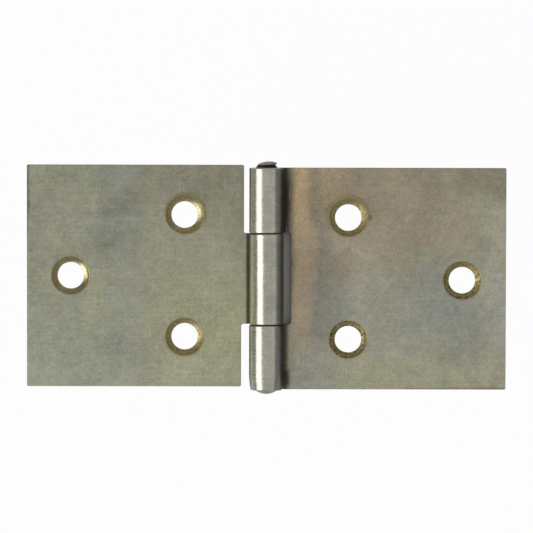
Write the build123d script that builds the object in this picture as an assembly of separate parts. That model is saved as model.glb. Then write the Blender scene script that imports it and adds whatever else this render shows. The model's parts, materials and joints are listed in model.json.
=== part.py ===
from build123d import *
from math import asin, cos, radians, sin, tan
import os

# A back flap hinge for furniture: two wide leaves stamped from steel sheet, whose tongues are rolled
# round one pin. It lies open and flat. X runs across the leaves, Y along the pin, and Z up to the side
# that carries the knuckles and the countersinks. The origin is below the middle of the pin, in the
# plane of the leaves' back faces.

# Leaves, in millimetres
leaf_length = 50.0  # along the pin
leaf_reach = 54.0  # from the pin's axis to a leaf's outer edge
sheet_thickness = 1.8
one_knuckle_leaf_offset = 0.6  # this leaf was blanked off centre, so it stands proud at the head end
die_roll = 0.3  # rounding that blanking leaves on the back and on the outside of the rolls
corner_round = 0.45  # corners of the one-knuckle leaf beside the barrel
outer_corner_round = 0.35  # the four corners away from the barrel

# Knuckles
centre_knuckle_length = 20.45
knuckle_gap = 0.12  # between neighbouring knuckles, along the pin
seam_gap = 0.4  # between a roll's free end and the face of its own leaf
notch_gap = 1.7  # from the barrel to the notch of the two-knuckle leaf
head_notch_gap = 1.2  # from the barrel to the one-knuckle leaf, towards the pin's head
tail_notch_gap = 1.8  # the same towards the pin's tail
notch_round = 0.6  # inside corners of the notches
head_notch_round = 0.35  # the punch was sharper at this one
tail_closing = 0.33  # how far peening the pin's tail drew in the end of the knuckle there
tail_closing_length = 4.0  # along the pin
tail_bevel = 0.2

# Pin
pin_diameter = 4.0
pin_clearance = 0.08  # between the pin and every roll, all round
pin_end_gap = 0.05  # from the pin's upset ends to the knuckles between them
shoulder_diameter = 4.9  # where the shank was upset below the head
shoulder_height = 0.55
head_diameter = 4.25
head_edge = 0.35
head_dome = 0.48
head_lean = 5.0  # degrees that the head was hammered over, towards the one-knuckle leaf
head_shift = 0.2  # how far it spread off the pin's axis, towards the two-knuckle leaf
tail_diameter = 5.0
tail_dome = 0.85

# Screw holes, three in each leaf
hole_diameter = 6.0
countersink_diameter = 8.6
countersink_angle = 90.0
near_hole_reach = 18.45  # from the pin's axis to the pair of holes
near_hole_spacing = 27.5
far_hole_reach = 44.15  # from the pin's axis to the single hole
far_hole_drift = 0.35  # the two-knuckle leaf's single hole lies off the leaf's middle, towards the tail

# Sizes that follow
bore_radius = pin_diameter / 2 + pin_clearance
barrel_radius = bore_radius + sheet_thickness
axis_height = barrel_radius
clear_of_leaf = leaf_reach + leaf_length  # longer than anything that is cut


def rectangle(x_low, x_high, y_low, y_high):
    """A rectangle between two corners, on the plane of the leaves' backs."""
    centre = Pos((x_low + x_high) / 2, (y_low + y_high) / 2)
    return centre * Rectangle(x_high - x_low, y_high - y_low)


def round_corner(outline, x, y, radius):
    """The outline with the corner at this point rounded."""
    return fillet(outline.vertices().sort_by_distance((x, y))[0], radius)


def rolled_section(side):
    """Section across the pin of a leaf on one side (1 or -1): the flat sheet runs under the pin, turns up
    and over it, and its free end comes back down to the leaf's own face."""
    seam_angle = asin((bore_radius - seam_gap) / barrel_radius)
    free_way = Vector(side * cos(seam_angle), -sin(seam_angle))
    axis = Vector(0, axis_height)
    far_way = Vector(-side, 0)
    outer_end = axis + free_way * barrel_radius
    inner_end = axis + free_way * bore_radius
    back_corner = Vector(side * leaf_reach, 0)
    front_corner = Vector(side * leaf_reach, sheet_thickness)
    under_pin = Vector(0, 0)
    on_sheet = Vector(0, sheet_thickness)
    edges = [
        Line(back_corner, under_pin),
        ThreePointArc(under_pin, axis + far_way * barrel_radius, outer_end),
        Line(outer_end, inner_end),
        ThreePointArc(inner_end, axis + far_way * bore_radius, on_sheet),
        Line(on_sheet, front_corner),
        Line(front_corner, back_corner),
    ]
    return make_face(edges)


def screw_hole():
    """Cutter for one countersunk hole, with its axis on Z and the sheet's back at zero."""
    hole_radius = hole_diameter / 2
    sink_radius = countersink_diameter / 2
    slope = tan(radians(countersink_angle / 2))
    sink_depth = (sink_radius - hole_radius) / slope
    top = sheet_thickness + sink_depth
    half_section = Polyline(
        (0, -sheet_thickness),
        (hole_radius, -sheet_thickness),
        (hole_radius, sheet_thickness - sink_depth),
        (sink_radius + sink_depth * slope, top),
        (0, top),
        close=True,
    )
    return revolve(Plane.XZ * make_face(half_section), Axis.Z)


def screw_holes(side, middle, drift):
    """The three cutters of a leaf, whose middle lies at this Y and whose single hole drifts off it."""
    half_pair = near_hole_spacing / 2
    places = [
        (side * near_hole_reach, middle + half_pair),
        (side * near_hole_reach, middle - half_pair),
        (side * far_hole_reach, middle - drift),
    ]
    return [Pos(x, y) * screw_hole() for x, y in places]


def leaf(side, outline, middle, drift):
    """A leaf: its blank's outline seen from above, given the rolled section, the holes and the die roll."""
    section = extrude(Plane.XZ * rolled_section(side), clear_of_leaf, both=True)
    blank = section & extrude(outline, 2 * barrel_radius)
    for hole in screw_holes(side, middle, drift):
        blank -= hole
    rims = [
        edge
        for edge in blank.edges().filter_by(GeomType.CIRCLE)
        if abs(edge.radius - barrel_radius) < 1e-6
    ]
    return fillet(rims, die_roll)


def closed_end():
    """Cutter that draws in the roll at the pin's tail, all round but for the flat sheet that runs under it."""
    end = -leaf_length / 2
    end_radius = barrel_radius - tail_closing
    outside = 2 * barrel_radius
    start = (barrel_radius, end + tail_closing_length)
    bevel_edge = (end_radius, end + tail_bevel)
    half_section = [
        TangentArc(start, bevel_edge, tangent=(0, -1)),
        Polyline(
            bevel_edge,
            (end_radius - tail_bevel, end),
            (bore_radius, end),
            (bore_radius, 2 * end),
            (outside, 2 * end),
            (outside, end + tail_closing_length),
            start,
        ),
    ]
    ring = Pos(0, 0, axis_height) * revolve(make_face(half_section), Axis.Y)
    under_sheet = rectangle(0, 2 * outside, 3 * end, 0)
    return ring - Pos(0, 0, -outside) * extrude(under_sheet, outside + sheet_thickness + seam_gap / 2)


def two_knuckle_leaf():
    """The leaf on the +X side, notched in the middle for the other leaf's knuckle."""
    half = leaf_length / 2
    notch_half = centre_knuckle_length / 2 + knuckle_gap
    notch_edge = barrel_radius + notch_gap
    past_barrel = -2 * barrel_radius
    outline = rectangle(past_barrel, leaf_reach, -half, half)
    outline -= rectangle(past_barrel, notch_edge, -notch_half, notch_half)
    outline = round_corner(outline, notch_edge, notch_half, notch_round)
    outline = round_corner(outline, notch_edge, -notch_half, notch_round)
    outline = round_corner(outline, leaf_reach, half, outer_corner_round)
    outline = round_corner(outline, leaf_reach, -half, outer_corner_round)
    return leaf(1, outline, 0, far_hole_drift) - closed_end()


def one_knuckle_leaf():
    """The leaf on the -X side, with a notch at each corner for the other leaf's knuckles."""
    head_end = leaf_length / 2 + one_knuckle_leaf_offset
    tail_end = -leaf_length / 2 + one_knuckle_leaf_offset
    tongue_half = centre_knuckle_length / 2
    head_edge_x = -barrel_radius - head_notch_gap
    tail_edge_x = -barrel_radius - tail_notch_gap
    past_barrel = 2 * barrel_radius
    outline = rectangle(-leaf_reach, past_barrel, tail_end, head_end)
    outline -= rectangle(head_edge_x, past_barrel, tongue_half, head_end)
    outline -= rectangle(tail_edge_x, past_barrel, tail_end, -tongue_half)
    outline = round_corner(outline, head_edge_x, tongue_half, head_notch_round)
    outline = round_corner(outline, tail_edge_x, -tongue_half, notch_round)
    outline = round_corner(outline, head_edge_x, head_end, corner_round)
    outline = round_corner(outline, tail_edge_x, tail_end, corner_round)
    outline = round_corner(outline, -leaf_reach, head_end, outer_corner_round)
    outline = round_corner(outline, -leaf_reach, tail_end, outer_corner_round)
    return leaf(-1, outline, one_knuckle_leaf_offset, 0)


def hinge_pin():
    """The pin on the knuckles' axis: a plain shank with an upset shoulder, a leaning head and a peened tail."""
    shank = pin_diameter / 2
    shoulder = shoulder_diameter / 2
    head = head_diameter / 2
    tail = tail_diameter / 2
    shoulder_base = leaf_length / 2 + pin_end_gap
    shoulder_top = shoulder_base + shoulder_height
    shank_top = shoulder_top + head_edge / 2
    tail_base = -shoulder_base
    tail_tip = tail_base - tail_dome
    rod = [
        Line((0, tail_tip), (0, shank_top)),
        Polyline(
            (0, shank_top),
            (shank, shank_top),
            (shank, shoulder_top),
            (shoulder, shoulder_base),
            (shank, shoulder_base),
            (shank, tail_base),
            (tail, tail_base),
        ),
        TangentArc((0, tail_tip), (tail, tail_base), tangent=(1, 0)),
    ]
    cap = [
        Polyline((head, head_edge), (head, 0), (0, 0), (0, head_edge + head_dome)),
        TangentArc((0, head_edge + head_dome), (head, head_edge), tangent=(1, 0)),
    ]
    leaning = Pos(head_shift, shoulder_top) * Rot(0, 0, head_lean)
    pin = revolve(make_face(rod), Axis.Y) + leaning * revolve(make_face(cap), Axis.Y)
    return Pos(0, 0, axis_height) * pin


os.makedirs("parts", exist_ok=True)
export_step(two_knuckle_leaf(), "parts/two_knuckle_leaf.step")
export_step(one_knuckle_leaf(), "parts/one_knuckle_leaf.step")
export_step(hinge_pin(), "parts/hinge_pin.step")
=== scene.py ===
import json
import math
from collections import namedtuple

import bmesh
import bpy
from mathutils import Matrix, Vector


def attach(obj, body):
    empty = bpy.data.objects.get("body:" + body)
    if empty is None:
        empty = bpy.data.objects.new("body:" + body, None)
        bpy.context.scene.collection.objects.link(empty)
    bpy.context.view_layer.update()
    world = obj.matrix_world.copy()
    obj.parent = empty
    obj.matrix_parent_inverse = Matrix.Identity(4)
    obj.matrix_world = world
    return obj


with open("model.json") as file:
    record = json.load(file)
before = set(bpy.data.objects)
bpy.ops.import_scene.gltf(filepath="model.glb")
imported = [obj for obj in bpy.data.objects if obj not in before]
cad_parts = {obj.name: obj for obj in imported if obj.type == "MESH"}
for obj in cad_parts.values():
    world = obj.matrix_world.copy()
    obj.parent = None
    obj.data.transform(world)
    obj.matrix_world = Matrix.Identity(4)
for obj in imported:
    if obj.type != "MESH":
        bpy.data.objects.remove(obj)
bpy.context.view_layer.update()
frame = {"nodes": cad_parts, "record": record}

bl_info = {
    "name": "Back Flap Hinge",
    "version": (1, 0, 0),
    "blender": (4, 5, 0),
    "location": "3D View > Sidebar > Hinge",
    "description": "Finishes a back flap hinge of rolled steel sheet and sets up its studio",
    "category": "Object",
}

MM = 0.001
MIX_A = 6  # colour inputs of a Mix node
MIX_B = 7

# The pin's axis, round which the sheet is rolled, stands one barrel radius above the leaves' backs
PIN_HEIGHT = frame["record"]["behaviour"]["joints"][0]["pos_m"][2]
BARREL_RADIUS = PIN_HEIGHT
SCREW_HOLES = [mount for mount in frame["record"]["mounts"] if mount["kind"] == "bore"]
HOLE_RADIUS = SCREW_HOLES[0]["dims"]["r_mm"] * MM

# A stain on a leaf, or a patch of painted shade laid the same way: its colour, how strong it is, where it
# starts, is full, is full to and ends across the leaf (X) and along the pin (Y), and how far its edges
# wander, in millimetres
StainAndShade = namedtuple("StainAndShade", "colour strength across along wander")
FROM_EDGE = (-2000.0, -1000.0)
TO_EDGE = (1000.0, 2000.0)

# A patch that the countersinking cutter rubbed bare on a leaf's face: the hole that it lies round, how far
# it is off the hole's middle (X and Y) and its radius in millimetres, and how strong it is
Rub = namedtuple("Rub", "hole off_x off_y radius strength")

# Small marks strewn over a leaf, each in the middle of a cell of a pattern, but only in the cells whose
# chance is above the least one: the cells' spacing, the pattern's dimensions, that chance, the largest mark
# as a share of the spacing, its strength and its colour
Mark = namedtuple("Mark", "spacing dimensions least_chance largest strength colour")

# A soft lamp that looks at the origin: its place, its sizes across and along the pin, and its radiance
Lamp = namedtuple("Lamp", "name place width length radiance")


def linear(hex_colour):
    """An sRGB hex colour as linear red, green and blue."""
    channels = [int(hex_colour[i:i + 2], 16) / 255 for i in (1, 3, 5)]
    return tuple(c / 12.92 if c <= 0.04045 else ((c + 0.055) / 1.055) ** 2.4 for c in channels)


def add(tree, kind, inputs=None, **settings):
    """Add a node with its settings. An input takes a value, an output socket, or a node's first output."""
    node = tree.nodes.new(kind)
    for name, value in settings.items():
        setattr(node, name, value)
    for key, value in (inputs or {}).items():
        if isinstance(value, bpy.types.Node):
            value = next(output for output in value.outputs if output.enabled)
        if isinstance(value, bpy.types.NodeSocket):
            tree.links.new(value, node.inputs[key])
        else:
            node.inputs[key].default_value = value
    return node


def empty_material(name):
    """A new material with no nodes, and its tree."""
    material = bpy.data.materials.new(name)
    material.use_nodes = True
    material.node_tree.nodes.clear()
    return material, material.node_tree


def dress(node_name, material):
    """Give a CAD node this material in each of its slots."""
    piece = frame["nodes"][node_name]
    if not piece.material_slots:
        raise RuntimeError(f"{node_name} has no material slot")
    for slot in piece.material_slots:
        slot.material = material
    return piece


class HingeFinish(bpy.types.PropertyGroup):
    """Colours and surface sizes of the hinge's steel."""

    steel: bpy.props.FloatVectorProperty(
        name="Sheet steel", description="Cold-rolled sheet of both leaves",
        subtype="COLOR", default=linear("#929480"), min=0, max=1)
    warm: bpy.props.FloatVectorProperty(
        name="Warm mottling", description="Straw-coloured clouds in the sheet's oxide skin",
        subtype="COLOR", default=linear("#9c8b76"), min=0, max=1)
    bright: bpy.props.FloatVectorProperty(
        name="Rolled knuckles", description="Sheet burnished by the rolling tool",
        subtype="COLOR", default=linear("#9a998d"), min=0, max=1)
    sheared: bpy.props.FloatVectorProperty(
        name="Sheared edges", description="Sides of the sheet where it was blanked",
        subtype="COLOR", default=linear("#6f6a5c"), min=0, max=1)
    turned: bpy.props.FloatVectorProperty(
        name="Countersinks", description="Steel laid bare by the countersinking cutter",
        subtype="COLOR", default=linear("#aaa07a"), min=0, max=1)
    # The grime colour also paints the shade in the pin's neck under its head
    grime: bpy.props.FloatVectorProperty(
        name="Grime", description="Old oil and dirt in corners and pits",
        subtype="COLOR", default=linear("#2a2620"), min=0, max=1)
    wire: bpy.props.FloatVectorProperty(
        name="Pin", description="Drawn steel wire of the pin",
        subtype="COLOR", default=linear("#a3a29b"), min=0, max=1)
    brush_length: bpy.props.FloatProperty(
        name="Brush length", description="Length of the fine lines along the leaves",
        unit="LENGTH", subtype="DISTANCE", default=22 * MM, min=0.1 * MM)
    brush_width: bpy.props.FloatProperty(
        name="Brush width", description="Width of those lines, drawn coarse enough to show",
        unit="LENGTH", subtype="DISTANCE", default=0.5 * MM, min=0.01 * MM)
    cloud_size: bpy.props.FloatProperty(
        name="Cloud size", description="Size of the mottled patches in the oxide skin",
        unit="LENGTH", subtype="DISTANCE", default=13 * MM, min=1 * MM)
    edge_wear: bpy.props.FloatProperty(
        name="Edge wear", description="Width over which edges are rubbed round",
        unit="LENGTH", subtype="DISTANCE", default=0.12 * MM, min=0)


class HingeCountersink(bpy.types.PropertyGroup):
    """Sizes of the cut faces of the countersinks."""

    hole_radius: bpy.props.FloatProperty(
        name="Hole radius", description="Radius of the straight hole below the countersink",
        unit="LENGTH", subtype="DISTANCE", default=HOLE_RADIUS, min=0.1 * MM)
    sink_radius: bpy.props.FloatProperty(
        name="Countersink radius", description="Radius of the countersink at the leaf's face",
        unit="LENGTH", subtype="DISTANCE", default=4.3 * MM, min=0.1 * MM)
    sheet: bpy.props.FloatProperty(
        name="Sheet", description="Thickness of the leaf",
        unit="LENGTH", subtype="DISTANCE", default=1.8 * MM, min=0.1 * MM)
    groove_pitch: bpy.props.FloatProperty(
        name="Tool mark spacing",
        description="Between rings left by the cutter, drawn coarse enough to show",
        unit="LENGTH", subtype="DISTANCE", default=0.33 * MM, min=0.05 * MM)
    groove_depth: bpy.props.FloatProperty(
        name="Tool mark depth", description="Depth of those rings",
        unit="LENGTH", subtype="DISTANCE", default=0.008 * MM, min=0)
    dish: bpy.props.FloatProperty(
        name="Dish", description="How far the cut face is hollowed between its rim and the hole",
        unit="LENGTH", subtype="DISTANCE", default=0.4 * MM, min=0)
    chatter: bpy.props.IntProperty(
        name="Chatter marks", description="Facets round the cut from the cutter's chatter",
        default=13, min=0)
    seed: bpy.props.IntProperty(
        name="Seed", description="Picks how each cut is turned", default=4)


class HingeStage(bpy.types.PropertyGroup):
    """Camera, lamps and floor."""

    lens: bpy.props.FloatProperty(
        name="Lens", description="Focal length on a 36 mm sensor, in millimetres", default=235.3, min=10)
    distance: bpy.props.FloatProperty(
        name="Distance", description="From the camera to the point it looks at",
        unit="LENGTH", subtype="DISTANCE", default=786 * MM)
    tilt: bpy.props.FloatProperty(
        name="Tilt", description="How far the camera leans towards the pin's head",
        unit="ROTATION", subtype="ANGLE", default=math.radians(2.5))
    roll: bpy.props.FloatProperty(
        name="Roll", description="Turn of the camera about its own line of sight",
        unit="ROTATION", subtype="ANGLE", default=math.radians(0.12))
    target: bpy.props.FloatVectorProperty(
        name="Target", description="Point that the camera looks at",
        unit="LENGTH", subtype="TRANSLATION", default=(0.01 * MM, 2.68 * MM, 1.0 * MM))
    floor_height: bpy.props.FloatProperty(
        name="Floor height", description="Low enough for a leaf to swing down clear of it",
        unit="LENGTH", subtype="DISTANCE", default=-62 * MM)
    floor_glow: bpy.props.FloatProperty(
        name="Floor glow",
        description="Share of the floor that shows as plain white, the rest takes shadow",
        subtype="FACTOR", default=0.97, min=0, max=1)
    world: bpy.props.FloatProperty(
        name="Room", description="Radiance of the grey room", default=0.28, min=0)


class HingeSettings(bpy.types.PropertyGroup):
    """Everything that a user of the hinge would change."""

    finish: bpy.props.PointerProperty(type=HingeFinish)
    countersink: bpy.props.PointerProperty(type=HingeCountersink)
    stage: bpy.props.PointerProperty(type=HingeStage)


def spread(tree, colour, stains, place, wander, mask):
    """The colour with these stains, some of them painted shade, laid over it where the mask lets them,
    their edges led astray by the wander pattern."""
    for stain in stains:
        wandered = add(tree, "ShaderNodeVectorMath", {
            0: wander, 1: (stain.wander * MM,) * 3, 2: place}, operation="MULTIPLY_ADD")
        stain_place = add(tree, "ShaderNodeSeparateXYZ", {0: wandered})
        share = add(tree, "ShaderNodeMath", {0: mask, 1: stain.strength}, operation="MULTIPLY")
        for axis, (start, full, full_to, end) in (("X", stain.across), ("Y", stain.along)):
            rise = add(tree, "ShaderNodeMapRange", {
                "Value": stain_place.outputs[axis], "From Min": start * MM, "From Max": full * MM},
                interpolation_type="SMOOTHSTEP")
            fall = add(tree, "ShaderNodeMapRange", {
                "Value": stain_place.outputs[axis], "From Min": full_to * MM, "From Max": end * MM,
                "To Min": 1.0, "To Max": 0.0}, interpolation_type="SMOOTHSTEP")
            inside = add(tree, "ShaderNodeMath", {0: rise, 1: fall}, operation="MULTIPLY")
            share = add(tree, "ShaderNodeMath", {0: inside, 1: share}, operation="MULTIPLY")
        colour = add(tree, "ShaderNodeMix", {
            "Factor": share, MIX_A: colour, MIX_B: (*linear(stain.colour), 1)}, data_type="RGBA")
    return colour


def leaf_steel(name, finish, straw, roll_lean, stains, dirt_and_shade, rubs):
    """Cold-rolled sheet steel with its thin oxide skin, blanked and rolled. The eye gets a soft grey-olive
    sheen with fine lines along the leaf, cloudy straw and grey patches, a faint coloured grain, small pits,
    dull sheared sides, and knuckles that the rolling tool burnished to a sharper, slightly rippled shine.
    Straw is the share of warm mottling, and roll lean is the slope by which a roll is out of round."""
    material, tree = empty_material(name)
    coordinates = add(tree, "ShaderNodeTexCoord").outputs
    place = coordinates["Object"]
    split = add(tree, "ShaderNodeSeparateXYZ", {0: place})
    x, y, z = split.outputs

    # The sheet unrolled: distance round the pin on a knuckle, and across the leaf elsewhere
    above_pin = add(tree, "ShaderNodeMath", {0: z, 1: PIN_HEIGHT}, operation="SUBTRACT")
    spoke = add(tree, "ShaderNodeCombineXYZ", {"X": x, "Z": above_pin})
    from_pin = add(tree, "ShaderNodeVectorMath", {0: spoke}, operation="LENGTH").outputs["Value"]
    roll_face = BARREL_RADIUS + 0.05 * MM
    roll_end = BARREL_RADIUS + 0.4 * MM
    knuckle = add(tree, "ShaderNodeMapRange", {
        "Value": from_pin, "From Min": roll_face, "From Max": roll_end,
        "To Min": 1.0, "To Max": 0.0}, interpolation_type="SMOOTHSTEP")
    turn = add(tree, "ShaderNodeMath", {0: x, 1: above_pin}, operation="ARCTAN2")
    arc = add(tree, "ShaderNodeMath", {0: turn, 1: BARREL_RADIUS}, operation="MULTIPLY")
    across = add(tree, "ShaderNodeMix", {"Factor": knuckle, "A": x, "B": arc}, data_type="FLOAT")
    unrolled = add(tree, "ShaderNodeCombineXYZ", {"X": across, "Y": y})

    # Brushing runs along the sheet, so it becomes rings round a knuckle
    brush_scale = (1 / finish.brush_length, 1 / finish.brush_width, 1.0)
    brush_place = add(tree, "ShaderNodeVectorMath", {0: unrolled, 1: brush_scale}, operation="MULTIPLY")
    brush = add(tree, "ShaderNodeTexNoise", {
        "Vector": brush_place, "Scale": 1.0, "Detail": 3.0, "Roughness": 0.6})

    # Oxide skin: clouds, a finer mottle between olive and straw, and specks
    clouds = add(tree, "ShaderNodeTexNoise", {
        "Vector": place, "Scale": 1 / finish.cloud_size, "Detail": 4.0, "Roughness": 0.55,
        "Distortion": 0.4})
    mottle_size = 2.2 * MM
    mottle = add(tree, "ShaderNodeTexNoise", {
        "Vector": place, "Scale": 1 / mottle_size, "Detail": 3.0, "Roughness": 0.65})
    speck_size = 0.4 * MM  # the finest crystals, drawn coarse enough to show
    specks = add(tree, "ShaderNodeTexNoise", {
        "Vector": place, "Scale": 1 / speck_size, "Detail": 2.0, "Roughness": 0.7})
    least_warm = 0.3 * straw
    most_warm = 0.7 * straw
    warmth = add(tree, "ShaderNodeMapRange", {
        "Value": mottle, "From Min": 0.35, "From Max": 0.65, "To Min": least_warm, "To Max": most_warm})
    colour = add(tree, "ShaderNodeMix", {
        "Factor": warmth, MIX_A: (*finish.steel, 1), MIX_B: (*finish.warm, 1)}, data_type="RGBA")

    # Patches rubbed by the cutter on the front, broken up by the mottle
    front_from = 0.6 * MM  # above the leaf's back
    front_to = 1.2 * MM
    front = add(tree, "ShaderNodeMapRange", {"Value": z, "From Min": front_from, "From Max": front_to})
    flat = add(tree, "ShaderNodeCombineXYZ", {"X": x, "Y": y})
    rub_colour = linear("#7c6c24")
    rub_inside = 0.15 * MM
    rub_outside = 0.2 * MM
    for rub in rubs:
        hole = next(mount["pos_m"] for mount in SCREW_HOLES if mount["name"] == rub.hole)
        middle = (hole[0] + rub.off_x * MM, hole[1] + rub.off_y * MM, 0.0)
        radius = rub.radius * MM
        away = add(tree, "ShaderNodeVectorMath", {0: flat, 1: middle}, operation="DISTANCE")
        patch = add(tree, "ShaderNodeMapRange", {
            "Value": away.outputs["Value"],
            "From Min": radius - rub_inside, "From Max": radius + rub_outside,
            "To Min": 1.0, "To Max": 0.0})
        broken = add(tree, "ShaderNodeMapRange", {
            "Value": mottle, "From Min": 0.4, "From Max": 0.6,
            "To Min": 0.5 * rub.strength, "To Max": rub.strength})
        share = add(tree, "ShaderNodeMath", {0: patch, 1: broken}, operation="MULTIPLY")
        share = add(tree, "ShaderNodeMath", {0: share, 1: front}, operation="MULTIPLY")
        colour = add(tree, "ShaderNodeMix", {
            "Factor": share, MIX_A: colour, MIX_B: (*rub_colour, 1)}, data_type="RGBA")

    # Larger stains, whose edges wander
    wander_size = 8 * MM
    wander = add(tree, "ShaderNodeTexNoise", {
        "Vector": place, "Scale": 1 / wander_size, "Detail": 3.0, "Roughness": 0.6})
    centred = add(tree, "ShaderNodeVectorMath", {
        0: wander.outputs["Color"], 1: (0.5, 0.5, 0.5)}, operation="SUBTRACT")
    colour = spread(tree, colour, stains, place, centred, 1.0)

    # Knuckles, bright on top and duller down their flanks, where the tool rubbed less, more so towards +X.
    # The flanks' darker colour is partly painted shade, for the dark reflections down the barrel's sides,
    # and it starts sooner on the +X side, away from the left softbox
    top_turn = -0.18  # radians about the pin, as the next two
    flank_start = 0.78
    flank_end = 1.28
    dull_flank_shade_colour = linear("#636467")
    off_top = add(tree, "ShaderNodeMath", {0: turn, 1: top_turn}, operation="SUBTRACT")
    lean = add(tree, "ShaderNodeMath", {0: off_top}, operation="ABSOLUTE")
    flank = add(tree, "ShaderNodeMapRange", {
        "Value": lean, "From Min": flank_start, "From Max": flank_end}, interpolation_type="SMOOTHSTEP")
    roll = add(tree, "ShaderNodeMix", {
        "Factor": flank, MIX_A: (*finish.bright, 1), MIX_B: (*dull_flank_shade_colour, 1)}, data_type="RGBA")
    colour = add(tree, "ShaderNodeMix", {"Factor": knuckle, MIX_A: colour, MIX_B: roll}, data_type="RGBA")
    # Grime and painted shade in the corners beside the rolls and low on the rolls' outsides
    colour = spread(tree, colour, dirt_and_shade, place, centred, front)

    # Sides of the sheet, which were torn and burnished by the blanking die
    facing = add(tree, "ShaderNodeSeparateXYZ", {0: coordinates["Normal"]})
    upright = add(tree, "ShaderNodeMath", {0: facing.outputs["Z"]}, operation="ABSOLUTE")
    sideways = add(tree, "ShaderNodeMapRange", {
        "Value": upright, "From Min": 0.25, "From Max": 0.5, "To Min": 1.0, "To Max": 0.0})
    off_knuckle = add(tree, "ShaderNodeMath", {0: 1.0, 1: knuckle}, operation="SUBTRACT")
    side = add(tree, "ShaderNodeMath", {0: sideways, 1: off_knuckle}, operation="MULTIPLY")
    colour = add(tree, "ShaderNodeMix", {
        "Factor": side, MIX_A: colour, MIX_B: (*finish.sheared, 1)}, data_type="RGBA")

    # Small pits that hold dirt, and pale nicks of bare metal
    pits = Mark(
        spacing=3.4 * MM, dimensions="3D", least_chance=0.65, largest=0.045, strength=0.45,
        colour=finish.grime)
    nicks = Mark(
        spacing=2.9 * MM, dimensions="2D", least_chance=0.75, largest=0.05, strength=0.4,
        colour=linear("#d0cec4"))
    for mark in (pits, nicks):
        cells = add(tree, "ShaderNodeTexVoronoi", {
            "Vector": place, "Scale": 1 / mark.spacing}, voronoi_dimensions=mark.dimensions)
        chance = add(tree, "ShaderNodeSeparateXYZ", {0: cells.outputs["Color"]}).outputs["X"]
        size = add(tree, "ShaderNodeMapRange", {
            "Value": chance, "From Min": mark.least_chance, "From Max": 1.0,
            "To Min": 0.0, "To Max": mark.largest})
        inside = add(tree, "ShaderNodeMath", {0: cells.outputs["Distance"], 1: size}, operation="LESS_THAN")
        share = add(tree, "ShaderNodeMath", {0: inside, 1: mark.strength}, operation="MULTIPLY")
        colour = add(tree, "ShaderNodeMix", {
            "Factor": share, MIX_A: colour, MIX_B: (*mark.colour, 1)}, data_type="RGBA")

    # Lightness: clouds, mottle, brushing and specks together, each about its middle and to its own depth
    tone = 1.0
    for pattern, depth in ((clouds, 0.6), (mottle, 0.45), (brush, 0.3), (specks, 0.75)):
        swing = add(tree, "ShaderNodeMath", {0: pattern, 1: 0.5}, operation="SUBTRACT")
        tone = add(tree, "ShaderNodeMath", {0: swing, 1: depth, 2: tone}, operation="MULTIPLY_ADD")
    colour = add(tree, "ShaderNodeHueSaturation", {"Value": tone, "Color": colour})

    # The oxide skin's thickness varies from grain to grain, which tints each a little
    grain_size = 0.9 * MM  # drawn coarse enough to show
    tint_depth = (0.4, 0.4, 0.7)  # red, green and blue
    grain = add(tree, "ShaderNodeTexNoise", {
        "Vector": place, "Scale": 1 / grain_size, "Detail": 2.0, "Roughness": 0.85})
    tint = add(tree, "ShaderNodeVectorMath", {
        0: grain.outputs["Color"], 1: (0.5, 0.5, 0.5)}, operation="SUBTRACT")
    tint = add(tree, "ShaderNodeVectorMath", {
        0: tint, 1: tint_depth, 2: (1.0, 1.0, 1.0)}, operation="MULTIPLY_ADD")
    colour = add(tree, "ShaderNodeVectorMath", {0: colour, 1: tint}, operation="MULTIPLY")

    # A few fine scratches, running mostly along the pin
    scratch_width = 0.3 * MM  # drawn coarse enough to show
    scratch_length = 7 * MM
    scratch_slant = math.radians(12)
    scratch_share = 0.28
    scratch_colour = linear("#c2c0b4")
    slanted = add(tree, "ShaderNodeMapping", {
        "Vector": place, "Rotation": (0, 0, scratch_slant),
        "Scale": (1 / scratch_width, 1 / scratch_length, 1.0)})
    lines = add(tree, "ShaderNodeTexNoise", {"Vector": slanted, "Scale": 1.0, "Detail": 1.0})
    scratch = add(tree, "ShaderNodeMapRange", {
        "Value": lines, "From Min": 0.69, "From Max": 0.79, "To Min": 0.0, "To Max": scratch_share})
    colour = add(tree, "ShaderNodeMix", {
        "Factor": scratch, MIX_A: colour, MIX_B: (*scratch_colour, 1)}, data_type="RGBA")

    # Shine: the plates are satin, the knuckles' tops burnished, their flanks and the sheet's sides dull
    flank_rough = 0.5
    side_rough = 0.55
    satin = add(tree, "ShaderNodeMapRange", {
        "Value": brush, "From Min": 0.3, "From Max": 0.7, "To Min": 0.34, "To Max": 0.46})
    burnished = add(tree, "ShaderNodeMapRange", {
        "Value": brush, "From Min": 0.3, "From Max": 0.7, "To Min": 0.25, "To Max": 0.31})
    roll_rough = add(tree, "ShaderNodeMix", {
        "Factor": flank, "A": burnished, "B": flank_rough}, data_type="FLOAT")
    rough = add(tree, "ShaderNodeMix", {
        "Factor": knuckle, "A": satin, "B": roll_rough}, data_type="FLOAT")
    rough = add(tree, "ShaderNodeMix", {"Factor": side, "A": rough, "B": side_rough}, data_type="FLOAT")

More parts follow.
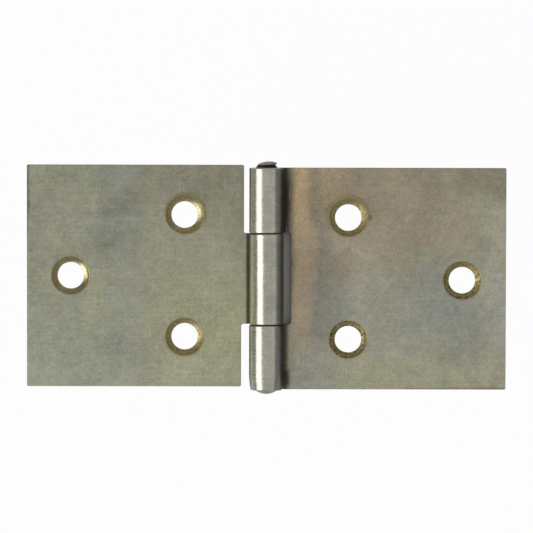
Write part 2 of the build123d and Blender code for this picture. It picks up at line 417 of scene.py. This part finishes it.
    # Relief: edges rubbed round, the roll out of round, ripples that the rolling left, and the brushing
    relief = add(tree, "ShaderNodeBevel", {"Radius": finish.edge_wear}, samples=4)
    ripple_size = 1.0 * MM
    ripple_depth = 0.006 * MM
    brush_depth = 0.005 * MM
    ripples = add(tree, "ShaderNodeTexNoise", {"Vector": place, "Scale": 1 / ripple_size, "Detail": 2.0})
    rolled = add(tree, "ShaderNodeMath", {0: ripples, 1: knuckle}, operation="MULTIPLY")
    leaning = add(tree, "ShaderNodeMath", {0: arc, 1: knuckle}, operation="MULTIPLY")
    brushed = add(tree, "ShaderNodeMath", {0: brush, 1: off_knuckle}, operation="MULTIPLY")
    for height, depth in ((leaning, roll_lean), (rolled, ripple_depth), (brushed, brush_depth)):
        relief = add(tree, "ShaderNodeBump", {
            "Strength": 1.0, "Distance": depth, "Height": height, "Normal": relief})
    surface = add(tree, "ShaderNodeBsdfPrincipled", {
        "Base Color": colour, "Metallic": 1.0, "Roughness": rough, "Normal": relief})
    add(tree, "ShaderNodeOutputMaterial", {"Surface": surface})
    return material


def turned_steel(name, finish, dish, near_film, far_film, rust):
    """Bare steel left by a countersinking cutter. The eye gets a yellower metal than the leaf's skin,
    bright where it faces the lamp, a little hollow, with rings from the geometry, a dull brown film of old
    oil and specks of rust. The film's least and most share is given for the holes beside the pin and for
    the far one. Film and rust grow towards the pin's tail."""
    material, tree = empty_material(name)
    coordinates = add(tree, "ShaderNodeTexCoord").outputs
    place = coordinates["Object"]
    film_size = 0.7 * MM
    film_seed = 2.0
    film = add(tree, "ShaderNodeTexNoise", {
        "Vector": place, "W": film_seed, "Scale": 1 / film_size, "Detail": 4.0, "Roughness": 0.65},
        noise_dimensions="4D")
    split = add(tree, "ShaderNodeSeparateXYZ", {0: place})
    reach = add(tree, "ShaderNodeMath", {0: split.outputs["X"]}, operation="ABSOLUTE")
    head_pair = 14 * MM  # along the pin, as the next one
    tail_pair = -14 * MM
    tailwards = add(tree, "ShaderNodeMapRange", {
        "Value": split.outputs["Y"], "From Min": head_pair, "From Max": tail_pair})
    past_pair = 25 * MM  # from the pin, between the pair of holes and the far one, as the next one
    before_far = 38 * MM
    least, most = [
        add(tree, "ShaderNodeMapRange", {
            "Value": reach, "From Min": past_pair, "From Max": before_far, "To Min": near, "To Max": far})
        for near, far in zip(near_film, far_film)
    ]
    tail_film = 0.35
    share = add(tree, "ShaderNodeMapRange", {
        "Value": film, "From Min": 0.42, "From Max": 0.62, "To Min": least, "To Max": most})
    share = add(tree, "ShaderNodeMath", {0: tailwards, 1: tail_film, 2: share}, operation="MULTIPLY_ADD")

    # The film has flaked off between the spots of rust
    film_colour = linear("#8b8056")
    bare_rough = 0.24
    filmed_rough = 0.72
    rust_size = 0.55 * MM
    spots = add(tree, "ShaderNodeTexNoise", {"Vector": place, "Scale": 1 / rust_size, "Detail": 1.0})
    amount = add(tree, "ShaderNodeMapRange", {"Value": tailwards, "To Min": 0.4 * rust, "To Max": rust})
    flake = add(tree, "ShaderNodeMapRange", {"Value": spots, "From Min": 0.46, "From Max": 0.38})
    flaked = add(tree, "ShaderNodeMath", {0: flake, 1: amount}, operation="MULTIPLY")
    share = add(tree, "ShaderNodeMix", {"Factor": flaked, "A": share, "B": 0.0}, data_type="FLOAT")
    colour = add(tree, "ShaderNodeMix", {
        "Factor": share, MIX_A: (*finish.turned, 1), MIX_B: (*film_colour, 1)}, data_type="RGBA")
    rough = add(tree, "ShaderNodeMapRange", {
        "Value": share, "To Min": bare_rough, "To Max": filmed_rough})

    rust_colour = linear("#4a3019")
    spot = add(tree, "ShaderNodeMapRange", {"Value": spots, "From Min": 0.56, "From Max": 0.66})
    rusted = add(tree, "ShaderNodeMath", {0: spot, 1: amount}, operation="MULTIPLY")
    colour = add(tree, "ShaderNodeMix", {
        "Factor": rusted, MIX_A: colour, MIX_B: (*rust_colour, 1)}, data_type="RGBA")
    rough = add(tree, "ShaderNodeMath", {0: rough, 1: rusted}, operation="MAXIMUM")

    # Dirt lines the rim. Climb is zero at the hole and one at the rim
    climb = add(tree, "ShaderNodeAttribute", attribute_name="climb").outputs["Fac"]
    rim_share = 0.6
    rim_colour = linear("#4a4129")
    rim = add(tree, "ShaderNodeMapRange", {
        "Value": climb, "From Min": 0.89, "From Max": 0.97, "To Min": 0.0, "To Max": rim_share})
    colour = add(tree, "ShaderNodeMix", {
        "Factor": rim, MIX_A: colour, MIX_B: (*rim_colour, 1)}, data_type="RGBA")
    rough = add(tree, "ShaderNodeMath", {0: rough, 1: rim}, operation="MAXIMUM")

    # The hollow is deepest a little below the rim, and the cutter leaned, so that one side is the hollower
    deepest = 0.85
    from_deepest = add(tree, "ShaderNodeMath", {0: climb, 1: deepest}, operation="SUBTRACT")
    hollow = add(tree, "ShaderNodeMath", {0: from_deepest, 1: 2.0}, operation="POWER")
    lean_way = (-0.92, -0.38, 0.0)
    facing = add(tree, "ShaderNodeVectorMath", {
        0: coordinates["Normal"], 1: lean_way}, operation="DOT_PRODUCT").outputs["Value"]
    leaning = add(tree, "ShaderNodeMapRange", {
        "Value": facing, "From Min": -0.2, "From Max": 0.6, "To Min": 0.15, "To Max": 1.0})
    hollow = add(tree, "ShaderNodeMath", {0: hollow, 1: leaning}, operation="MULTIPLY")
    relief = add(tree, "ShaderNodeBump", {"Strength": 1.0, "Distance": dish, "Height": hollow})
    surface = add(tree, "ShaderNodeBsdfPrincipled", {
        "Base Color": colour, "Metallic": 1.0, "Roughness": rough, "Normal": relief})
    add(tree, "ShaderNodeOutputMaterial", {"Surface": surface})
    return material


def drawn_wire_steel(finish):
    """Drawn steel wire with hammered ends. The eye gets a grey metal with shallow dents from the peening
    hammer and dark oil in between."""
    material, tree = empty_material("drawn steel wire, peened")
    place = add(tree, "ShaderNodeTexCoord").outputs["Object"]
    dent_size = 1.3 * MM
    dents = add(tree, "ShaderNodeTexVoronoi", {
        "Vector": place, "Scale": 1 / dent_size, "Smoothness": 0.6}, feature="SMOOTH_F1")
    grime_size = 0.9 * MM
    grime = add(tree, "ShaderNodeTexNoise", {
        "Vector": place, "Scale": 1 / grime_size, "Detail": 3.0, "Roughness": 0.6})
    oil_share = 0.7
    oil_colour = linear("#55524a")
    share = add(tree, "ShaderNodeMapRange", {
        "Value": grime, "From Min": 0.45, "From Max": 0.75, "To Min": 0.0, "To Max": oil_share})
    colour = add(tree, "ShaderNodeMix", {
        "Factor": share, MIX_A: (*finish.wire, 1), MIX_B: (*oil_colour, 1)}, data_type="RGBA")
    rough = add(tree, "ShaderNodeMapRange", {
        "Value": grime, "From Min": 0.3, "From Max": 0.7, "To Min": 0.72, "To Max": 0.82})

    # Painted shade: the neck between the knuckle and the head is darkened with the grime colour, as the
    # head shades it
    neck_full = 25.55 * MM  # along the pin, as the next one
    neck_end = 25.8 * MM
    neck_shade_share = 0.95
    middle_end = 1.0 * MM  # the half of the pin towards its tail has none
    along = add(tree, "ShaderNodeSeparateXYZ", {0: place}).outputs["Y"]
    neck = add(tree, "ShaderNodeMapRange", {
        "Value": along, "From Min": neck_full, "From Max": neck_end, "To Min": neck_shade_share, "To Max": 0.0})
    headwards = add(tree, "ShaderNodeMapRange", {"Value": along, "From Min": 0.0, "From Max": middle_end})
    neck_shade = add(tree, "ShaderNodeMath", {0: neck, 1: headwards}, operation="MULTIPLY")
    colour = add(tree, "ShaderNodeMix", {
        "Factor": neck_shade, MIX_A: colour, MIX_B: (*finish.grime, 1)}, data_type="RGBA")

    # Relief: edges rubbed round, and the hammer's dents
    rubbed = add(tree, "ShaderNodeBevel", {"Radius": finish.edge_wear}, samples=4)
    dent_depth = 0.012 * MM
    relief = add(tree, "ShaderNodeBump", {
        "Strength": 1.0, "Distance": dent_depth, "Height": dents.outputs["Distance"], "Normal": rubbed})
    surface = add(tree, "ShaderNodeBsdfPrincipled", {
        "Base Color": colour, "Metallic": 1.0, "Roughness": rough, "Normal": relief})
    add(tree, "ShaderNodeOutputMaterial", {"Surface": surface})
    return material


def countersink_tree():
    """A node tree that sets a cut cone, with the cutter's rings and chatter, on each point it is given."""
    tree = bpy.data.node_groups.new("countersink cuts", "GeometryNodeTree")
    face = tree.interface
    face.new_socket("Geometry", in_out="INPUT", socket_type="NodeSocketGeometry")
    for name in ("Hole Radius", "Countersink Radius", "Sheet", "Mark Spacing", "Mark Depth"):
        face.new_socket(name, in_out="INPUT", socket_type="NodeSocketFloat")
    for name in ("Chatter Marks", "Seed"):
        face.new_socket(name, in_out="INPUT", socket_type="NodeSocketInt")
    face.new_socket("Material", in_out="INPUT", socket_type="NodeSocketMaterial")
    face.new_socket("Geometry", in_out="OUTPUT", socket_type="NodeSocketGeometry")
    given = add(tree, "NodeGroupInput").outputs

    # A square grid is bent round: one way becomes the turn about the hole, the other goes up the cut
    # face and back down behind it, so that the skin is closed
    spokes = 97
    rows = 51
    grid = add(tree, "GeometryNodeMeshGrid", {
        "Size X": 1.0, "Size Y": 1.0, "Vertices X": spokes, "Vertices Y": rows})
    flat = add(tree, "ShaderNodeSeparateXYZ", {0: add(tree, "GeometryNodeInputPosition")})
    turn = add(tree, "ShaderNodeMapRange", {
        "Value": flat.outputs["X"], "From Min": -0.5, "From Max": 0.5, "To Min": 0.0, "To Max": math.tau})
    front_share = 0.8
    edge_share = 0.03
    lap = add(tree, "ShaderNodeMath", {0: flat.outputs["Y"], 1: 0.5}, operation="ADD")
    climb = add(tree, "ShaderNodeMath", {0: lap, 1: front_share}, operation="DIVIDE")
    drop = add(tree, "ShaderNodeMapRange", {
        "Value": lap, "From Min": front_share, "From Max": 1.0, "To Min": 1.0, "To Max": 0.0})
    up = add(tree, "ShaderNodeMath", {0: climb, 1: drop}, operation="MINIMUM")
    fade_in = add(tree, "ShaderNodeMapRange", {
        "Value": lap, "From Min": 0.0, "From Max": edge_share}, interpolation_type="SMOOTHSTEP")
    fade_out = add(tree, "ShaderNodeMapRange", {
        "Value": lap, "From Min": front_share - edge_share, "From Max": front_share,
        "To Min": 1.0, "To Max": 0.0}, interpolation_type="SMOOTHSTEP")
    front = add(tree, "ShaderNodeMath", {0: fade_in, 1: fade_out}, operation="MULTIPLY")

    # Rings of the cutter, and chatter that grows towards the rim
    width = add(tree, "ShaderNodeMath", {
        0: given["Countersink Radius"], 1: given["Hole Radius"]}, operation="SUBTRACT")
    slant = add(tree, "ShaderNodeMath", {0: width, 1: math.sqrt(2)}, operation="MULTIPLY")
    rings = add(tree, "ShaderNodeMath", {0: slant, 1: given["Mark Spacing"]}, operation="DIVIDE")
    ring_turns = add(tree, "ShaderNodeMath", {0: rings, 1: math.tau}, operation="MULTIPLY")
    ring_phase = add(tree, "ShaderNodeMath", {0: up, 1: ring_turns, 2: turn}, operation="MULTIPLY_ADD")
    ring_wave = add(tree, "ShaderNodeMath", {0: ring_phase}, operation="SINE")
    chatter_phase = add(tree, "ShaderNodeMath", {0: turn, 1: given["Chatter Marks"]}, operation="MULTIPLY")
    chatter_wave = add(tree, "ShaderNodeMath", {0: chatter_phase}, operation="SINE")
    chatter = add(tree, "ShaderNodeMath", {0: chatter_wave, 1: up}, operation="MULTIPLY")
    waves = add(tree, "ShaderNodeMath", {0: ring_wave, 1: chatter}, operation="ADD")
    marks = add(tree, "ShaderNodeMath", {0: waves, 1: given["Mark Depth"]}, operation="MULTIPLY")

    # Skin thickness: proud of the steel in front by a hair more than the marks are deep, and sunk behind
    mark_depths = 2.5
    sunk = 0.06 * MM
    proud = add(tree, "ShaderNodeMath", {
        0: given["Mark Depth"], 1: mark_depths, 2: marks}, operation="MULTIPLY_ADD")
    stand = add(tree, "ShaderNodeMix", {"Factor": front, "A": -sunk, "B": proud}, data_type="FLOAT")
    lift = add(tree, "ShaderNodeMath", {0: stand, 1: math.sqrt(0.5)}, operation="MULTIPLY")
    wide = add(tree, "ShaderNodeMath", {
        0: up, 1: width, 2: given["Hole Radius"]}, operation="MULTIPLY_ADD")
    radius = add(tree, "ShaderNodeMath", {0: wide, 1: lift}, operation="SUBTRACT")
    floor = add(tree, "ShaderNodeMath", {0: given["Sheet"], 1: width}, operation="SUBTRACT")
    high = add(tree, "ShaderNodeMath", {0: up, 1: width, 2: floor}, operation="MULTIPLY_ADD")
    height = add(tree, "ShaderNodeMath", {0: high, 1: lift}, operation="ADD")
    cosine = add(tree, "ShaderNodeMath", {0: turn}, operation="COSINE")
    sine = add(tree, "ShaderNodeMath", {0: turn}, operation="SINE")
    ring_x = add(tree, "ShaderNodeMath", {0: radius, 1: cosine}, operation="MULTIPLY")
    ring_y = add(tree, "ShaderNodeMath", {0: radius, 1: sine}, operation="MULTIPLY")
    bent = add(tree, "ShaderNodeCombineXYZ", {"X": ring_x, "Y": ring_y, "Z": height})
    marked = add(tree, "GeometryNodeStoreNamedAttribute", {
        "Geometry": grid.outputs["Mesh"], "Name": "climb", "Value": up})
    cone = add(tree, "GeometryNodeSetPosition", {"Geometry": marked, "Position": bent})
    touching = 0.0005 * MM
    joined = add(tree, "GeometryNodeMergeByDistance", {"Geometry": cone, "Distance": touching})

    # One cut on each hole, each turned its own way
    spin = add(tree, "FunctionNodeRandomValue", {
        2: 0.0, 3: math.tau, "Seed": given["Seed"]}, data_type="FLOAT")
    facing = add(tree, "ShaderNodeCombineXYZ", {"Z": spin.outputs[1]})
    cuts = add(tree, "GeometryNodeInstanceOnPoints", {
        "Points": given["Geometry"], "Instance": joined, "Rotation": facing})
    solid = add(tree, "GeometryNodeRealizeInstances", {"Geometry": cuts})
    smooth = add(tree, "GeometryNodeSetShadeSmooth", {"Geometry": solid})
    finished = add(tree, "GeometryNodeSetMaterial", {"Geometry": smooth, "Material": given["Material"]})
    add(tree, "NodeGroupOutput", {"Geometry": finished})
    return tree


def countersink_cuts(leaf_name, tree, sizes, material):
    """The cut faces of one leaf's screw holes, as a plain mesh."""
    centres = [mount["pos_m"][:2] for mount in SCREW_HOLES if mount["name"].startswith(leaf_name)]
    name = f"{leaf_name}_countersink_cuts"
    points = bpy.data.meshes.new(name + "_points")
    points.from_pydata([(x, y, 0.0) for x, y in centres], [], [])
    carrier = bpy.data.objects.new(name + "_points", points)
    bpy.context.collection.objects.link(carrier)
    maker = carrier.modifiers.new("countersink cuts", "NODES")
    maker.node_group = tree
    values = {
        "Hole Radius": sizes.hole_radius,
        "Countersink Radius": sizes.sink_radius,
        "Sheet": sizes.sheet,
        "Mark Spacing": sizes.groove_pitch,
        "Mark Depth": sizes.groove_depth,
        "Chatter Marks": sizes.chatter,
        "Seed": sizes.seed,
        "Material": material,
    }
    for socket in tree.interface.items_tree:
        if socket.in_out == "INPUT" and socket.name in values:
            maker[socket.identifier] = values[socket.name]
    evaluated = carrier.evaluated_get(bpy.context.evaluated_depsgraph_get())
    mesh = bpy.data.meshes.new_from_object(evaluated)
    carrier.modifiers.remove(maker)
    bpy.data.objects.remove(carrier)
    bpy.data.meshes.remove(points)
    if not mesh.polygons:
        raise RuntimeError(f"{name} came out empty")
    form = bmesh.new()
    form.from_mesh(mesh)
    bmesh.ops.recalc_face_normals(form, faces=form.faces)
    form.to_mesh(mesh)
    form.free()
    mesh.name = name
    piece = bpy.data.objects.new(name, mesh)
    bpy.context.collection.objects.link(piece)
    return piece


class HINGE_OT_two_knuckle_leaf(bpy.types.Operator):
    """Finish the leaf whose two tongues are rolled into the outer knuckles"""

    bl_idname = "hinge.two_knuckle_leaf"
    bl_label = "Two-Knuckle Leaf"

    def execute(self, context):
        stains = (
            # straw-brown oxide over the leaf's inner half towards the pin's head, strongest beside the
            # knuckle, with a greyer band where the bending tool held the sheet
            StainAndShade("#8a7c69", 0.6, (*FROM_EDGE, 14, 42), (-26, 0, *TO_EDGE), 8),
            StainAndShade("#b9a17b", 0.65, (4.8, 6.6, 7.6, 11.5), (6, 15, *TO_EDGE), 3),
            StainAndShade("#b09a7c", 0.35, (4.8, 6.6, 9.5, 12.5), (-16, -7, 9, 15), 3),
            StainAndShade("#c0a986", 0.3, (4.8, 7, 15, 20), (15, 21, *TO_EDGE), 4),
            StainAndShade("#7f786b", 0.4, (8.8, 10.2, 11.4, 13.0), (10, 14, *TO_EDGE), 2),
            StainAndShade("#74746c", 0.35, (10.8, 12.6, 14.0, 16.0), (-8, -3, 9, 13), 2),
            StainAndShade("#777972", 0.5, (8, 12, 17, 23), (-18, -12, -4, 2), 5),
            StainAndShade("#9b9c96", 0.45, (5, 7, 13, 20), (*FROM_EDGE, -19, -12), 5),
            # cooler skin over the half towards the tail, with a paler streak and a blue-grey patch
            StainAndShade("#8e9189", 0.55, (10, 20, *TO_EDGE), (*FROM_EDGE, -6, 8), 8),
            StainAndShade("#aaa994", 0.18, (17, 22, 27, 34), (*FROM_EDGE, 6, 14), 8),
            StainAndShade("#7d7e7b", 0.4, (31, 37, 43, 48), (-14, -8, -1, 4), 6),
            StainAndShade("#b1a998", 0.32, (12.5, 16, 26, 33), (3, 7, 10, 15), 6),
            # rosy skin beyond the holes towards the head, an olive corner and a pale outer margin
            StainAndShade("#9b8878", 0.3, (20, 27, 42, 50), (3, 9, *TO_EDGE), 8),
            StainAndShade("#776f5e", 0.4, (40, 45, *TO_EDGE), (17, 22, *TO_EDGE), 6),
            StainAndShade("#aaa798", 0.45, (46, 51, *TO_EDGE), (-21, -12, 15, 20), 5),
            StainAndShade("#807d6b", 0.4, (46.5, 48, 49.5, 51), (5.2, 6.8, 8.4, 10), 3),
            # paler along the tail end, with rust on its edge
            StainAndShade("#a9a47c", 0.3, (12, 20, *TO_EDGE), (*FROM_EDGE, -21, -13), 5),
            StainAndShade("#6b5a45", 0.4, (28, 34, *TO_EDGE), (*FROM_EDGE, -24.75, -24.45), 0.9),
            # a drop of old oil beside the hole at the head end
            StainAndShade("#6d6236", 0.7, (22.5, 22.9, 23.5, 24.1), (12.8, 13.3, 14.0, 14.6), 0.9),
        )
        dirt_and_shade = (
            # grime and painted shade in the corner below the roll, spread wider towards the pin's head
            StainAndShade("#2c2821", 0.85, (3.1, 3.9, 4.3, 6.9), (-12, -4, 21, 27), 1.5),
            StainAndShade("#2c2821", 0.85, (3.1, 3.9, 4.2, 5.5), (*FROM_EDGE, *TO_EDGE), 0.8),
            StainAndShade("#2c2821", 0.7, (3.6, 4.2, 4.8, 5.8), (-24.5, -23.5, -21.5, -20), 0.8),
            # and painted shade low on the outside of the roll, standing in for the dark reflection along
            # its edge
            StainAndShade("#2c2821", 0.8, (*FROM_EDGE, -3.7, -3.5), (*FROM_EDGE, *TO_EDGE), 0.2),
        )
        rubs = (
            Rub("two_knuckle_leaf_screw_head_end", -0.15, 0.35, 5.0, 1.0),
            Rub("two_knuckle_leaf_screw_tail_end", 0.05, -0.35, 4.6, 0.7),
            Rub("two_knuckle_leaf_screw_far", -0.1, -0.3, 4.5, 0.7),
        )
        finish = context.scene.hinge.finish
        dress("two_knuckle_leaf", leaf_steel(
            "cold-rolled steel sheet, straw", finish, straw=0.5, roll_lean=0.0,
            stains=stains, dirt_and_shade=dirt_and_shade, rubs=rubs))
        return {"FINISHED"}


class HINGE_OT_one_knuckle_leaf(bpy.types.Operator):
    """Finish the leaf whose one tongue is rolled into the centre knuckle"""

    bl_idname = "hinge.one_knuckle_leaf"
    bl_label = "One-Knuckle Leaf"

    def execute(self, context):
        stains = (
            # darker towards the pin's head, and cooler and paler at the far tail corner
            StainAndShade("#807e6e", 0.6, (-45, -14, *TO_EDGE), (4, 22, *TO_EDGE), 8),
            StainAndShade("#969a8d", 0.5, (*FROM_EDGE, -44, -28), (*FROM_EDGE, -14, 0), 8),
            StainAndShade("#8b8e7e", 0.4, (*FROM_EDGE, -36, -16), (*FROM_EDGE, *TO_EDGE), 8),
            # a blue-grey band between the holes and the far end, yellower skin inside it, a paler tail end
            StainAndShade("#8e918a", 0.25, (-40, -35, -31, -27), (-24, -15, *TO_EDGE), 6),
            StainAndShade("#706f67", 0.25, (-40, -36, -30, -26), (0, 6, *TO_EDGE), 6),
            StainAndShade("#a7a684", 0.45, (-29, -22, *TO_EDGE), (*FROM_EDGE, -6, 5), 6),
            StainAndShade("#a5a795", 0.3, (*FROM_EDGE, *TO_EDGE), (*FROM_EDGE, -21, -15), 5),
            StainAndShade("#a9a88a", 0.3, (-43, -40, -37.5, -34), (-16, -10, 1, 5), 4),
            # a pale streak from the rolling mill
            StainAndShade("#a6aaa9", 0.17, (-50, -40, -33, -24), (10.6, 12.2, 13.0, 15.0), 4),
            # the torn far edge towards the head
            StainAndShade("#5b584d", 0.6, (*FROM_EDGE, -53.8, -53.3), (6, 12, *TO_EDGE), 1.5),
        )
        # grime and painted shade in the corner below the roll
        dirt_and_shade = (StainAndShade("#25211a", 0.8, (-4.8, -4.3, -3.9, -3.4), (*FROM_EDGE, *TO_EDGE), 0.2),)
        rubs = (
            Rub("one_knuckle_leaf_screw_head_end", 0.25, 0.35, 4.75, 1.0),
            Rub("one_knuckle_leaf_screw_tail_end", 0.0, -0.35, 4.45, 1.0),
            Rub("one_knuckle_leaf_screw_far", 0.1, 0.15, 4.55, 0.6),
        )
        finish = context.scene.hinge.finish
        dress("one_knuckle_leaf", leaf_steel(
            "cold-rolled steel sheet, olive", finish, straw=0.35, roll_lean=0.075,
            stains=stains, dirt_and_shade=dirt_and_shade, rubs=rubs))
        return {"FINISHED"}


class HINGE_OT_hinge_pin(bpy.types.Operator):
    """Finish the pin"""

    bl_idname = "hinge.hinge_pin"
    bl_label = "Hinge Pin"

    def execute(self, context):
        dress("hinge_pin", drawn_wire_steel(context.scene.hinge.finish))
        return {"FINISHED"}


class HINGE_OT_countersinks(bpy.types.Operator):
    """Lay the cut faces into the countersinks of both leaves"""

    bl_idname = "hinge.countersinks"
    bl_label = "Countersink Cuts"

    def execute(self, context):
        settings = context.scene.hinge
        tree = countersink_tree()
        dish = settings.countersink.dish
        tarnished = turned_steel(
            "cut steel, tarnished", settings.finish, dish,
            near_film=(0.68, 0.9), far_film=(0.75, 0.92), rust=0.75)
        clean = turned_steel(
            "cut steel, clean", settings.finish, dish,
            near_film=(0.0, 0.5), far_film=(-0.35, -0.1), rust=0.45)
        leaves = (
            ("two_knuckle_leaf", "fixed_leaf", tarnished),
            ("one_knuckle_leaf", "swinging_leaf", clean),
        )
        for leaf_name, body, material in leaves:
            piece = countersink_cuts(leaf_name, tree, settings.countersink, material)
            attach(piece, body)
        return {"FINISHED"}


class HINGE_OT_stage(bpy.types.Operator):
    """Lay the floor, hang the lamps and set the camera"""

    bl_idname = "hinge.stage"
    bl_label = "Studio"

    def execute(self, context):
        scene = context.scene
        stage = scene.hinge.stage
        scene.view_settings.view_transform = "Standard"

        # Grey room
        room = bpy.data.worlds.new("grey room")
        room.use_nodes = True
        room.node_tree.nodes.clear()
        walls = add(room.node_tree, "ShaderNodeBackground", {
            "Color": (1, 1, 1, 1), "Strength": stage.world})
        add(room.node_tree, "ShaderNodeOutputWorld", {"Surface": walls})
        scene.world = room

        # Floor of white paper, which shows plain white but for the shadow that it takes
        floor_half = 3.0
        one_face = [(0, 1, 2, 3)]
        floor_corners = [
            (-floor_half, -floor_half, stage.floor_height),
            (floor_half, -floor_half, stage.floor_height),
            (floor_half, floor_half, stage.floor_height),
            (-floor_half, floor_half, stage.floor_height),
        ]
        sheet = bpy.data.meshes.new("floor")
        sheet.from_pydata(floor_corners, [], one_face)
        floor = bpy.data.objects.new("floor", sheet)
        context.collection.objects.link(floor)
        paper, tree = empty_material("white paper, matt")
        rays = add(tree, "ShaderNodeLightPath").outputs
        mirrored = add(tree, "ShaderNodeMath", {
            0: rays["Is Glossy Ray"], 1: rays["Is Transmission Ray"]}, operation="MAXIMUM")
        seen = add(tree, "ShaderNodeMath", {0: rays["Is Camera Ray"], 1: mirrored}, operation="MAXIMUM")
        share = add(tree, "ShaderNodeMath", {0: seen, 1: stage.floor_glow}, operation="MULTIPLY")
        matt = add(tree, "ShaderNodeBsdfDiffuse", {"Color": (*linear("#9f9f9f"), 1)})
        white = add(tree, "ShaderNodeEmission", {"Color": (1, 1, 1, 1), "Strength": 1.0})
        mixed = add(tree, "ShaderNodeMixShader", {0: share, 1: matt, 2: white})
        add(tree, "ShaderNodeOutputMaterial", {"Surface": mixed})
        sheet.materials.append(paper)

        # A slip of grey card under the notch, as dark as a table top in the hinge's shade
        card_near = 1.0 * MM  # from the pin, as the next one
        card_far = 9.0 * MM
        card_half = 11.5 * MM  # along the pin
        card_height = -0.1 * MM
        card_corners = [
            (card_near, -card_half, card_height),
            (card_far, -card_half, card_height),
            (card_far, card_half, card_height),
            (card_near, card_half, card_height),
        ]
        slip = bpy.data.meshes.new("card")
        slip.from_pydata(card_corners, [], one_face)
        card = bpy.data.objects.new("card", slip)
        context.collection.objects.link(card)
        grey_card, tree = empty_material("grey card, matt")
        matt = add(tree, "ShaderNodeBsdfDiffuse", {"Color": (*linear("#b0b0a4"), 1)})
        add(tree, "ShaderNodeOutputMaterial", {"Surface": matt})
        slip.materials.append(grey_card)

        # Lamps, of which the left softbox gives the highlight along the barrel
        lamps = (
            Lamp("overhead softbox", (0.20, -0.10, 0.88), 1.40, 1.00, 0.485),
            Lamp("left softbox", (-0.94, -0.32, 0.75), 0.84, 1.05, 3.5),
            Lamp("right strip", (0.63, -0.05, 0.46), 0.22, 0.7, 0.42),
            Lamp("front softbox", (0.1, -0.9, 0.72), 1.5, 0.55, 0.5),
            Lamp("back softbox", (0.1, 0.9, 0.72), 1.5, 0.55, 0.44),
        )
        energy_of_radiance = 4  # watts from each square metre of a lamp whose radiance is one
        along = Vector((0, 1, 0))
        for lamp in lamps:
            light = bpy.data.lights.new(lamp.name, "AREA")
            light.shape = "RECTANGLE"
            light.size = lamp.width
            light.size_y = lamp.length
            light.energy = lamp.radiance * lamp.width * lamp.length * energy_of_radiance
            holder = bpy.data.objects.new(lamp.name, light)
            holder.visible_camera = False
            holder.location = lamp.place
            away = Vector(lamp.place).normalized()
            side = along.cross(away).normalized()
            holder.rotation_euler = Matrix((side, away.cross(side), away)).transposed().to_euler()
            context.collection.objects.link(holder)

        # Camera above the hinge, leaning towards the pin's head
        camera = bpy.data.cameras.new("camera")
        camera.lens = stage.lens
        camera.clip_end = 20
        viewer = bpy.data.objects.new("camera", camera)
        back = Vector((0, math.sin(stage.tilt), math.cos(stage.tilt)))
        right = Vector((1, 0, 0))
        viewer.location = Vector(stage.target) + back * stage.distance
        viewer.rotation_euler = Matrix((right, back.cross(right), back)).transposed().to_euler()
        viewer.rotation_euler.rotate_axis("Z", stage.roll)
        context.collection.objects.link(viewer)
        scene.camera = viewer
        return {"FINISHED"}


class HINGE_PT_panel(bpy.types.Panel):
    """The hinge's pieces and settings"""

    bl_idname = "HINGE_PT_panel"
    bl_label = "Back Flap Hinge"
    bl_space_type = "VIEW_3D"
    bl_region_type = "UI"
    bl_category = "Hinge"

    def draw(self, context):
        for operator in OPERATORS:
            self.layout.operator(operator.bl_idname)
        settings = context.scene.hinge
        for group in (settings.finish, settings.countersink, settings.stage):
            column = self.layout.column()
            for name in group.__annotations__:
                column.prop(group, name)


GROUPS = (HingeFinish, HingeCountersink, HingeStage, HingeSettings)
OPERATORS = (
    HINGE_OT_two_knuckle_leaf,
    HINGE_OT_one_knuckle_leaf,
    HINGE_OT_hinge_pin,
    HINGE_OT_countersinks,
    HINGE_OT_stage,
)
CLASSES = (*GROUPS, *OPERATORS, HINGE_PT_panel)


def register():
    for item in CLASSES:
        bpy.utils.register_class(item)
    bpy.types.Scene.hinge = bpy.props.PointerProperty(type=HingeSettings)


def unregister():
    del bpy.types.Scene.hinge
    for item in reversed(CLASSES):
        bpy.utils.unregister_class(item)


def main():
    register()
    bpy.ops.hinge.two_knuckle_leaf()
    bpy.ops.hinge.one_knuckle_leaf()
    bpy.ops.hinge.hinge_pin()
    bpy.ops.hinge.countersinks()
    bpy.ops.hinge.stage()


if __name__ == "__main__":
    main()
